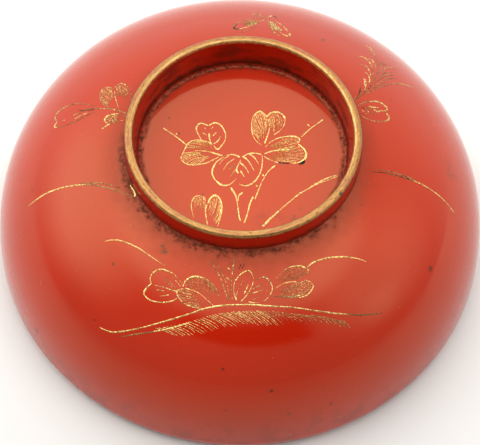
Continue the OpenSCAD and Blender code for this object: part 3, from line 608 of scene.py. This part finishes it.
def right_leaf():
    """One leaf beside the foot, on the right."""
    d = Drawing((25, 8), 0.4)
    d.line([(0, 6.1), (0.6, 4.2), (0.7, 2.2)], 0.15, 0.35, 0.35, worn=0.2)
    d.line([(0.7, 2.2), (0.4, 0.4), (-0.5, -0.9), (-1.9, -1.8)], 0.35, 0.55, 0.45, 0.5)
    d.line([(-1.9, -1.8), (-2.5, -0.9), (-2.7, -0.2)], 0.6, 0.5, 0.4)
    d.line([(-2.9, -0.4), (-4.1, -1), (-5.1, -0.6), (-5.5, 0.6)], 0.3, 0.5, 0.65, 0.4)
    d.line([(-5.5, 0.6), (-5.4, 2.3), (-4.9, 3.9), (-3.8, 5.5), (-2.4, 6.8)], 0.35, 0.3, 0.3, 0.25, 0.12,
           worn=0.2)
    d.line([(-0.5, 5.7), (-1.2, 3.6), (-1.8, 2.4)], 0.15, 0.35, 0.45, worn=0.25)
    d.line([(-1.8, 2.4), (-2.5, 1.4), (-2.4, 0.2), (-2.8, -0.4)], 0.4, 0.4, 0.25, 0.3)
    d.line([(-0.6, 3.5), (-1.2, 2), (-1.4, 0.8)], 0.15, 0.5, 0.2)
    d.line([(-0.7, 5.1), (-2.4, 3.9), (-3.4, 2.6)], 0.15, 0.35, 0.12, worn=0.3)
    d.line([(-2.1, 2.4), (-3.4, 1.2)], 0.25, 0.12, worn=0.2)
    d.line([(-1.4, 5.6), (-2.8, 4.9)], 0.12, 0.15)
    return d


def right_blade():
    """A long grass blade on the right, doubled near the foot."""
    d = Drawing((0, 14), 0.3)
    d.line([(-5.6, 11.4), (-5.2, 9.2), (-5, 7.2), (-5, 5), (-4.9, 2.4), (-4.9, 0.2)], 0.15, 0.3, 0.3, 0.35,
           0.35, worn=0.6)
    d.line([(-4.6, 9.9), (-4.4, 8.2), (-4.3, 6.2), (-4.3, 3.8), (-4.4, 1.6), (-4.8, -0.4)], 0.15, 0.3, 0.3,
           0.35, 0.3, worn=0.45)
    d.line([(-4.9, 0.2), (-5, -1.6), (-5.2, -3.3), (-5.6, -5.6)], 0.4, 0.45, 0.4, 0.35, worn=0.1)
    d.line([(-5.6, -5.6), (-6.1, -8), (-6.8, -10.3), (-7.6, -12.4), (-8.4, -14.4)], 0.35, 0.3, 0.3, 0.2)
    return d


DRAWINGS = (recess_spray, recess_blade, front_spray, front_ground, left_blade, left_spray, back_spray,
            right_fern, right_leaf, right_blade)


# ---- Node helpers

class Nodes:
    """Adds nodes to one tree. A value given to an input is a number, a colour or a socket."""

    def __init__(self, owner):
        owner.use_nodes = True
        self.owner = owner
        self.tree = owner.node_tree
        self.tree.nodes.clear()

    def add(self, kind, inputs=None, out=0, **settings):
        made = self.tree.nodes.new("ShaderNode" + kind)
        for key, value in settings.items():
            setattr(made, key, value)
        for key, value in (inputs or {}).items():
            if isinstance(value, bpy.types.NodeSocket):
                self.tree.links.new(value, made.inputs[key])
            else:
                made.inputs[key].default_value = value
        return made.outputs[out] if made.outputs else None

    def math(self, operation, a, b=0.0, clamp=False):
        return self.add("Math", {0: a, 1: b}, operation=operation, use_clamp=clamp)

    def place(self):
        """Position on the object, in metres."""
        return self.add("TexCoord", out=3)

    def noise(self, scale, detail=3.0, roughness=0.5, vector=None, distortion=0.0):
        inputs = {"Vector": vector or self.place(), "Scale": scale, "Detail": detail,
                  "Roughness": roughness, "Distortion": distortion}
        return self.add("TexNoise", inputs)

    def ramp(self, value, low, high, to_low=0.0, to_high=1.0):
        """Smooth change from to_low to to_high as value goes from low to high."""
        inputs = {"Value": value, "From Min": low, "From Max": high, "To Min": to_low, "To Max": to_high}
        return self.add("MapRange", inputs, interpolation_type="SMOOTHSTEP")

    def blend(self, factor, a, b):
        """Number a at factor 0 and b at factor 1."""
        return self.add("Mix", {0: factor, 2: a, 3: b})

    def mix(self, factor, a, b):
        """Colour a at factor 0 and b at factor 1."""
        inputs = {0: factor, 6: a, 7: b}
        return self.add("Mix", inputs, out=2, data_type="RGBA")

    def scaled(self, x, y, z, turn=0.0):
        """Position stretched along each axis, for streaks, after a turn about Z."""
        inputs = {"Vector": self.place(), "Rotation": (0, 0, turn), "Scale": (x, y, z)}
        return self.add("Mapping", inputs)

    def flat(self):
        """Position across the bowl's axis, in millimetres."""
        return self.add("VectorMath", {0: self.place(), 1: (1 / MM, 1 / MM, 0)}, operation="MULTIPLY")

    def radius(self):
        """Distance from the bowl's axis, in millimetres."""
        return self.add("VectorMath", {0: self.flat()}, out=1, operation="LENGTH")

    def axes(self):
        """Position along x, y and z, in millimetres."""
        at = self.add("VectorMath", {0: self.place(), "Scale": 1 / MM}, operation="SCALE")
        return [self.add("SeparateXYZ", {0: at}, out=i) for i in range(3)]

    def around(self, stretch):
        """A place round the foot ring in mm, with changes across it sharpened by stretch."""
        ring = self.add("VectorMath", {0: self.flat()}, operation="NORMALIZE")
        ring = self.add("VectorMath", {0: ring, "Scale": FOOT_R / 3}, operation="SCALE")
        across = self.add("CombineXYZ", {2: self.math("MULTIPLY", self.radius(), stretch)})
        return self.add("VectorMath", {0: ring, 1: across}, operation="ADD")

    def height(self):
        """Height above the floor, in millimetres."""
        return self.axes()[2]

    def near(self, point, size):
        """1 at a point given in millimetres, falling to 0 at size from it."""
        inputs = {0: self.place(), 1: tuple(c * MM for c in point)}
        gap = self.add("VectorMath", inputs, out=1, operation="DISTANCE")
        return self.ramp(gap, 0.25 * size * MM, size * MM, 1.0, 0.0)

    def marks(self, spots):
        """1 at every spot, each a point in millimetres and a size, falling to 0 round it."""
        found = 0.0
        for point, size in spots:
            found = self.math("MAXIMUM", found, self.near(point, size))
        return found

    def bump(self, height, distance, strength=1.0):
        return self.add("Bump", {"Height": height, "Distance": distance * MM, "Strength": strength})

    def surface(self, base, roughness, normal=None, **fixed):
        """Ends the tree in one shader. fixed are values that are the same all over."""
        inputs = {"Base Color": base, "Roughness": roughness}
        inputs.update({key.replace("_", " "): value for key, value in fixed.items()})
        if normal:
            inputs["Normal"] = normal
        shader = self.add("BsdfPrincipled", inputs)
        self.add("OutputMaterial", {0: shader})
        return self.owner


def new_material(name):
    return Nodes(bpy.data.materials.new(name))


# ---- Materials

VERMILION = (0.395, 0.0115, 0.0020, 1)
DEEP_RED = (0.33, 0.0090, 0.0016, 1)
DARK_RED = (0.26, 0.0060, 0.0012, 1)
# The grime colour also paints the shade round the foot on the wall
GRIME_AND_SHADE = (0.034, 0.0065, 0.0030, 1)
BLACK = (0.006, 0.004, 0.003, 1)
DUST = (0.80, 0.45, 0.34, 1)
WARM_GLOSS = (1.0, 0.96, 0.52, 1)

# Dark specks in the wall's lacquer: azimuth, distance down from the foot, size in mm
SPECKS = ((-81, 34.4, 0.7), (-77, 42.5, 0.9), (-28, 27.2, 1.0), (61, 11, 0.8), (-134, 15, 0.6),
          (-121, 5.4, 1.1), (-123, 4.6, 0.7), (-93, 28.4, 0.5), (-144, 47.3, 1.0), (-67, 42.6, 0.6),
          (150, 31, 0.6), (100, 24, 0.5), (35, 36, 0.6), (-172, 26, 0.5))

# Red smears and dark spots on the recess floor: x, y, size in mm
SMEARS = ((5, -18.5, 3), (8, -17.8, 3), (11, -18.6, 2.6), (-1, -17.5, 2))
FLOOR_SPOTS = ((12.6, -17.4, 0.9), (14, -15, 0.5), (-9, -12, 0.4), (18.5, 3, 0.5), (-18, 9, 0.6))


def wall_point(azimuth, run):
    """A point of the outer wall in mm."""
    return tuple(placed((azimuth, run), np.zeros((1, 2)), np.zeros(1))[0])


def lacquer_base(n):
    """Vermilion with slow changes of depth, as a brushed and aged coat has."""
    slow = n.ramp(n.noise(28, 2), 0.35, 0.7)
    return n.mix(n.math("MULTIPLY", slow, 0.45), VERMILION, DEEP_RED)


def dusted(n, tone):
    """Sparse pale dust and tiny dark pits over a lacquer."""
    pale = n.ramp(n.noise(1900, 1), 0.80, 0.84)
    pits = n.ramp(n.noise(700, 2, 0.4, n.scaled(1, 1.3, 0.8, 1.0)), 0.755, 0.79, 0, 0.75)
    return n.mix(pits, n.mix(n.math("MULTIPLY", pale, 0.4), tone, DUST), GRIME_AND_SHADE)


def scratches(n):
    """Fine rubbed scratches in two directions, 1 where the lacquer is cut."""
    one = n.ramp(n.noise(160, 2, 0.4, n.scaled(1, 22, 3, 0.5)), 0.73, 0.79)
    two = n.ramp(n.noise(130, 2, 0.4, n.scaled(18, 1, 3, 0.2)), 0.74, 0.80)
    return n.math("MAXIMUM", one, two)


def gloss(n, cut):
    """Roughness of the polished lacquer, duller in handled patches and in scratches."""
    rubbed = n.ramp(n.noise(90, 3), 0.3, 0.8, 0.085, 0.15)
    return n.math("ADD", rubbed, n.math("MULTIPLY", cut, 0.22))


def skin(n, cut):
    """Bump of a hand-brushed coat: slow waves, fine grain and scratches."""
    waves = n.math("MULTIPLY", n.noise(60, 2), 3.0)
    relief = n.math("SUBTRACT", n.math("ADD", waves, n.math("MULTIPLY", n.noise(1300, 2), 0.08)), cut)
    return n.bump(relief, 0.012, 0.6)


def lacquer(n, tone, cut, dull_mask=None, rough=0.6, level=0.12, bump=None):
    """Ends the tree of a red coat. Its mask is 1 where the coat is rough and hardly reflects: dirt and wear,
    and on the wall also painted shade round the foot.
    """
    if not dull_mask:
        return n.surface(tone, gloss(n, cut), skin(n, cut), Specular_Tint=WARM_GLOSS, IOR=1.5)
    return n.surface(tone, n.blend(dull_mask, gloss(n, cut), rough), bump or skin(n, cut),
                     Specular_Tint=WARM_GLOSS, IOR=1.5, Specular_IOR_Level=n.blend(dull_mask, 0.5, level))


def outer_material():
    """The wall: caked grime round the foot with a wider painted shade past it, specks, brown wear low at the
    front, and painted shade towards the back.
    """
    n = new_material("outer_vermilion")
    cut = scratches(n)
    x, y, z = n.axes()
    # Painted shade: the lacquer's colour darkens towards the back, where less light falls
    darker = n.ramp(n.math("ADD", y, n.math("MULTIPLY", n.noise(30, 2), 30)), -5, 70, 0, 0.8)
    tone = dusted(n, n.mix(darker, lacquer_base(n), DEEP_RED))
    marks = n.marks([(wall_point(azimuth, run), size) for azimuth, run, size in SPECKS])
    ragged = n.math("MULTIPLY", marks, n.ramp(n.noise(1100, 3), 0.3, 0.55))
    tone = n.mix(n.math("MULTIPLY", ragged, 0.85), tone, GRIME_AND_SHADE)
    smudge = n.near(wall_point(3, 26), 3.4)
    smudge = n.math("MULTIPLY", smudge, n.ramp(n.noise(420, 4, 0.6), 0.45, 0.6, 0, 0.6))
    tone = n.mix(smudge, tone, GRIME_AND_SHADE)
    # Wear near the rim
    low = n.ramp(n.math("ADD", z, n.math("MULTIPLY", n.noise(75, 3), 16)), 14, 26, 1.0, 0.0)
    worn = n.math("MULTIPLY", low, n.ramp(n.noise(260, 4, 0.6), 0.45, 0.62, 0, 0.7))
    tone = n.mix(worn, tone, DARK_RED)
    # Grime round the foot, thickest in the corner and on the near and left sides, merged with a wider painted
    # shade
    side = n.ramp(n.math("ADD", n.math("MULTIPLY", y, 0.8), n.math("MULTIPLY", x, 0.25)), -22, 8, 1.0, 0.28)
    ragged = n.math("MULTIPLY", n.noise(480, 4, 0.6), 6.0)
    reach = n.math("SUBTRACT", n.math("ADD", n.radius(), ragged), n.math("MULTIPLY", side, 2.6))
    foot_grime_and_shade = n.ramp(reach, 29.2, 32.0, 1.0, 0.0)
    # Painted shade: a wider darkening of the wall round the foot, deepest at the front, taken into the grime
    # mask
    painted_foot_shade = n.math("MULTIPLY", n.ramp(reach, 29.4, 36.5, 0.36, 0.0), n.ramp(y, -25, 5, 1.0, 0.6))
    grains = n.ramp(n.noise(1300, 3, 0.6), 0.30, 0.70, 1.0, 0.5)
    foot_grime_and_shade = n.math("MULTIPLY", foot_grime_and_shade, n.math("MULTIPLY", grains, n.ramp(side, 0.28, 1.0, 0.6, 0.95)))
    foot_grime_and_shade = n.math("MAXIMUM", foot_grime_and_shade, painted_foot_shade)
    tone = n.mix(foot_grime_and_shade, tone, GRIME_AND_SHADE)
    bump = n.add("Bump", {"Height": n.math("MULTIPLY", foot_grime_and_shade, n.noise(1500, 3)), "Distance": 0.18 * MM,
                          "Strength": 0.7, "Normal": skin(n, cut)})
    return lacquer(n, tone, cut, foot_grime_and_shade, bump=bump)


def rim_material():
    """The rim: the lacquer rubbed thin and brown on its resting edge."""
    n = new_material("rim_vermilion")
    cut = scratches(n)
    edge = n.ramp(n.math("ADD", n.height(), n.math("MULTIPLY", n.noise(300, 3), 2.4)), 1.4, 3.2, 1.0, 0.0)
    rubbed = n.math("MULTIPLY", edge, n.ramp(n.noise(500, 4, 0.6), 0.42, 0.58))
    tone = n.mix(rubbed, dusted(n, lacquer_base(n)), (0.10, 0.022, 0.010, 1))
    bare = n.ramp(n.noise(380, 3, 0.6), 0.69, 0.73)
    tone = n.mix(n.math("MULTIPLY", bare, edge), tone, BLACK)
    return lacquer(n, tone, cut, edge, 0.45, 0.15)


def inner_material():
    """The inside: plain polished vermilion with a few scratches from use."""
    n = new_material("inner_vermilion")
    cut = scratches(n)
    return lacquer(n, dusted(n, lacquer_base(n)), cut)


def foot_material():
    """The foot ring's sides: deep red outside, darker and smeared with grime inside."""
    n = new_material("foot_vermilion")
    cut = scratches(n)
    inside = n.ramp(n.radius(), 26.9, 27.3, 1.0, 0.0)
    z = n.height()
    base = n.mix(n.noise(60, 2), VERMILION, DARK_RED)
    tone = dusted(n, base)
    # Grime creeping up from the corner outside
    ragged = n.math("MULTIPLY", n.noise(420, 4, 0.6), 3.6)
    corner = n.ramp(n.math("ADD", n.math("SUBTRACT", z, 39.0), ragged), 5.6, 7.2, 1.0, 0.0)
    grains = n.ramp(n.noise(1500, 3, 0.6), 0.30, 0.62, 1.0, 0.4)
    # Smears down the inside
    smears = n.ramp(n.noise(90, 4, 0.65, n.scaled(1, 1, 4)), 0.47, 0.62, 0, 0.55)
    under = n.ramp(z, 45.6, 47.2, 1.0, 0.4)
    low = n.ramp(n.math("ADD", z, ragged), 42.2, 44.4, 0.9, 0.0)
    smears = n.math("MAXIMUM", n.math("MULTIPLY", smears, under), low)
    dull_mask = n.blend(inside, n.math("MULTIPLY", corner, grains), smears)
    tone = n.mix(dull_mask, tone, GRIME_AND_SHADE)
    return lacquer(n, tone, cut, dull_mask, 0.5, 0.15)


def recess_material():
    """The recess floor: grime in its corner, a faint red smear and some specks."""
    n = new_material("recess_vermilion")
    cut = scratches(n)
    tone = dusted(n, lacquer_base(n))
    smear = n.marks([((x, y, RECESS_Z), size) for x, y, size in SMEARS])
    smear = n.math("MULTIPLY", smear, n.ramp(n.noise(330, 4, 0.6, distortion=1.5), 0.42, 0.62, 0, 0.7))
    tone = n.mix(smear, tone, (0.26, 0.003, 0.001, 1))
    spots = n.marks([((x, y, RECESS_Z), size) for x, y, size in FLOOR_SPOTS])
    tone = n.mix(n.math("MULTIPLY", spots, n.ramp(n.noise(1100, 3), 0.3, 0.6, 0, 0.7)), tone, GRIME_AND_SHADE)
    ragged = n.math("MULTIPLY", n.noise(330, 4, 0.6), 2.4)
    corner = n.ramp(n.math("ADD", n.radius(), ragged), 24.5, 25.5)
    grains = n.ramp(n.noise(1500, 3, 0.6), 0.30, 0.62, 1.0, 0.35)
    corner = n.math("MULTIPLY", corner, grains)
    tone = n.mix(corner, tone, GRIME_AND_SHADE)
    return lacquer(n, tone, cut, corner)


def band_material():
    """Gilding on the foot: pale and burnished at the inner edge, brown at the outer, worn in places."""
    n = new_material("worn_gilding")
    ring = n.around(2.2)
    grain = n.noise(2.6, 4, 0.7, ring)
    across = n.math("ADD", n.radius(), n.math("MULTIPLY", n.noise(0.5, 3, 0.6, ring), 1.0))
    pale = n.mix(n.ramp(grain, 0.35, 0.65), (0.40, 0.185, 0.055, 1), (0.62, 0.42, 0.16, 1))
    brown = n.mix(n.ramp(grain, 0.35, 0.65), (0.16, 0.052, 0.014, 1), (0.29, 0.115, 0.030, 1))
    tone = n.mix(n.ramp(across, 26.9, 27.5, 0.0, 0.6), pale, brown)
    # Lacquer showing through along the middle of the top
    streak = n.ramp(n.noise(0.55, 4, 0.6, n.around(1.2)), 0.53, 0.62)
    middle = n.math("MULTIPLY", n.ramp(n.radius(), 26.7, 27.1), n.ramp(n.radius(), 27.4, 27.8, 1.0, 0.0))
    bare = n.math("MULTIPLY", streak, middle)
    pits = n.ramp(n.noise(1500, 2, 0.5), 0.66, 0.72)
    tone = n.mix(n.math("MULTIPLY", bare, 0.6), tone, (0.34, 0.040, 0.018, 1))
    tone = n.mix(n.math("MULTIPLY", pits, 0.8), tone, (0.10, 0.03, 0.012, 1))
    chip = n.marks([((23.2, -15.4, 47.9), 0.75), ((24.6, -13.4, 47.8), 0.4)])
    chip = n.math("MULTIPLY", chip, n.ramp(n.noise(1200, 2), 0.3, 0.5))
    tone = n.mix(chip, tone, BLACK)
    metal = n.math("MULTIPLY", n.ramp(bare, 0, 1, 0.95, 0.2), n.ramp(chip, 0, 1, 1.0, 0.0))
    relief = n.bump(n.math("SUBTRACT", grain, n.math("MULTIPLY", pits, 0.8)), 0.03, 0.7)
    return n.surface(tone, n.ramp(grain, 0.3, 0.7, 0.26, 0.4), relief, Metallic=metal)


def line_material():
    """Sprinkled gold powder: bright grains, worn to brown and black where the mark 'worn' is high."""
    n = new_material("brushed_gold")
    grain = n.noise(2200, 3, 0.6)
    tone = n.mix(n.ramp(grain, 0.36, 0.60), (0.42, 0.20, 0.042, 1), (0.94, 0.73, 0.28, 1))
    mark = n.add("Attribute", out=2, attribute_name="worn")
    rubbed = n.math("ADD", n.noise(2600, 3, 0.65), n.math("MULTIPLY", mark, 0.42))
    brown = n.ramp(rubbed, 0.62, 0.72)
    black = n.ramp(rubbed, 0.83, 0.91)
    tone = n.mix(n.math("MULTIPLY", brown, 0.85), tone, (0.15, 0.040, 0.012, 1))
    tone = n.mix(black, tone, BLACK)
    metal = n.ramp(brown, 0, 1, 0.9, 0.1)
    return n.surface(tone, n.ramp(grain, 0.3, 0.7, 0.36, 0.5), n.bump(grain, 0.03, 0.8), Metallic=metal,
                     Specular_IOR_Level=n.ramp(brown, 0, 1, 0.5, 0.1))


def wood_material():
    """Turned hardwood of the core, hidden under the coats."""
    n = new_material("turned_wood")
    grain = n.noise(40, 5, 0.6, n.scaled(1, 8, 8))
    return n.surface(n.mix(grain, (0.50, 0.33, 0.18, 1), (0.34, 0.20, 0.10, 1)),
                     n.ramp(grain, 0.3, 0.7, 0.5, 0.65), n.bump(grain, 0.1))


def ground_material():
    """Matt dark ground coat under the lacquer."""
    n = new_material("dark_ground")
    grain = n.noise(900, 4)
    tone = n.mix(grain, (0.020, 0.012, 0.009, 1), (0.05, 0.028, 0.018, 1))
    return n.surface(tone, n.ramp(grain, 0.3, 0.7, 0.65, 0.8), n.bump(grain, 0.05))


# ---- Stage

def make_world():
    """A dome of soft light: dim in front, bright overhead, behind and to the left, with one dark gap."""
    n = Nodes(bpy.data.worlds.new("studio"))
    bpy.context.scene.world = n.owner
    way = n.add("TexCoord")
    x, y, z = (n.add("SeparateXYZ", {0: way}, out=i) for i in range(3))
    elevation = n.math("DEGREES", n.math("ARCSINE", z))
    azimuth = n.math("DEGREES", n.math("ARCTAN2", y, x))

    def soft_round(at, above, inner, outer, level):
        """A soft round light about a direction, full within inner degrees and gone at outer."""
        a, e = math.radians(at), math.radians(above)
        axis = (math.cos(a) * math.cos(e), math.sin(a) * math.cos(e), math.sin(e))
        facing = n.add("VectorMath", {0: way, 1: axis}, out=1, operation="DOT_PRODUCT")
        angle = n.math("DEGREES", n.math("ARCCOSINE", facing))
        return n.ramp(angle, inner, outer, level, 0.0)

    lights = [
        n.ramp(elevation, 47, 62, 0.0, 1.7),  # overhead
        n.ramp(y, -0.35, 1.0, 0.0, 1.15),  # behind
        n.math("MULTIPLY", soft_round(166, 36, 8, 45, 2.2), n.ramp(elevation, 0, 28, 0.35, 1.0)),  # left
        soft_round(-12, 38, 8, 38, 1.1),  # right
        soft_round(-23, 22, 3, 14, 0.5),  # small one on the right
    ]
    level = 0.5
    for light in lights:
        level = n.math("ADD", light, level)
    edge = n.math("ADD", elevation, n.math("MULTIPLY", x, 7.0))
    gap = n.math("MULTIPLY", n.ramp(edge, 31.5, 38.5), n.ramp(elevation, 44, 56, 1.0, 0.0))
    gap = n.math("MULTIPLY", gap, n.ramp(azimuth, -126, -114))
    gap = n.math("MULTIPLY", gap, n.ramp(azimuth, -60, -48, 1.0, 0.0))
    level = n.math("MULTIPLY", level, n.ramp(gap, 0, 1, 1.0, 0.03))
    lit = n.add("Background", {"Color": (1, 1, 1, 1), "Strength": level})
    seen = n.add("Background", {"Color": (0.9, 0.9, 0.9, 1), "Strength": 1.0})
    camera_ray = n.add("LightPath")
    n.add("OutputWorld", {0: n.add("MixShader", {0: camera_ray, 1: lit, 2: seen})})


FLOOR_R = 3000  # mm from the bowl's axis to the floor's edges


def make_floor():
    """A plain pale sweep of paper, with painted shade that darkens it towards the front."""
    n = new_material("pale_floor")
    back = n.add("SeparateXYZ", {0: n.place()}, out=1)
    # Painted shade: the floor's colour falls off towards the front
    tone = n.mix(n.ramp(back, -0.25, 0.12), (0.36, 0.355, 0.345, 1), (0.80, 0.785, 0.745, 1))
    material = n.surface(tone, n.ramp(n.noise(12, 2), 0.3, 0.7, 0.6, 0.7))
    corners = [(-FLOOR_R, -FLOOR_R, 0), (FLOOR_R, -FLOOR_R, 0), (FLOOR_R, FLOOR_R, 0), (-FLOOR_R, FLOOR_R, 0)]
    floor = make_object("floor", corners, [(0, 1, 2, 3)], material)


CAMERA_EL = 60.1  # degrees above the floor
CAMERA_FAR = 600  # mm from the middle of the bowl's largest circle
CAMERA_ROLL = 2.06  # degrees
CAMERA_LENS = 178.95  # focal length in mm, on a sensor 36 mm wide
CAMERA_SHIFT = 0.006  # share of the picture's width that it is moved up


def make_camera():
    """Looks down at the bowl's largest circle from the front, with a long lens."""
    data = bpy.data.cameras.new("camera")
    data.lens = CAMERA_LENS
    data.sensor_width = 36
    data.shift_y = CAMERA_SHIFT
    camera = bpy.data.objects.new("camera", data)
    bpy.context.scene.collection.objects.link(camera)
    e = math.radians(CAMERA_EL)
    away = Vector((0, -math.cos(e), math.sin(e)))
    camera.location = (Vector((0, 0, BELLY_H)) + away * CAMERA_FAR) * MM
    camera.rotation_euler = (-away).to_track_quat("-Z", "Y").to_euler()
    camera.rotation_euler.rotate_axis("Z", math.radians(CAMERA_ROLL))
    bpy.context.scene.camera = camera


def build():
    coat("inner_coat", "inner_lacquer", "inner", inner_material())
    coat("rim_coat", "rim_lacquer", "rim", rim_material())
    coat("outer_coat", "outer_lacquer", "outer", outer_material())
    coat("foot_coat", "foot_lacquer", "foot", foot_material())
    coat("recess_coat", "recess_lacquer", "recess", recess_material())
    coat("foot_gilding", "foot_gold_band", "band", band_material(), -BAND_T, 0)
    gold = line_material()
    for draw in DRAWINGS:
        draw().finish("brushed_" + draw.__name__, "gold_" + draw.__name__, gold)
    for node, material in (("wood_core", wood_material()), ("ground_coat", ground_material())):
        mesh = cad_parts[node].data
        mesh.materials.clear()
        mesh.materials.append(material)


bpy.context.scene.view_settings.view_transform = "Standard"
make_camera()
make_world()
make_floor()
build()
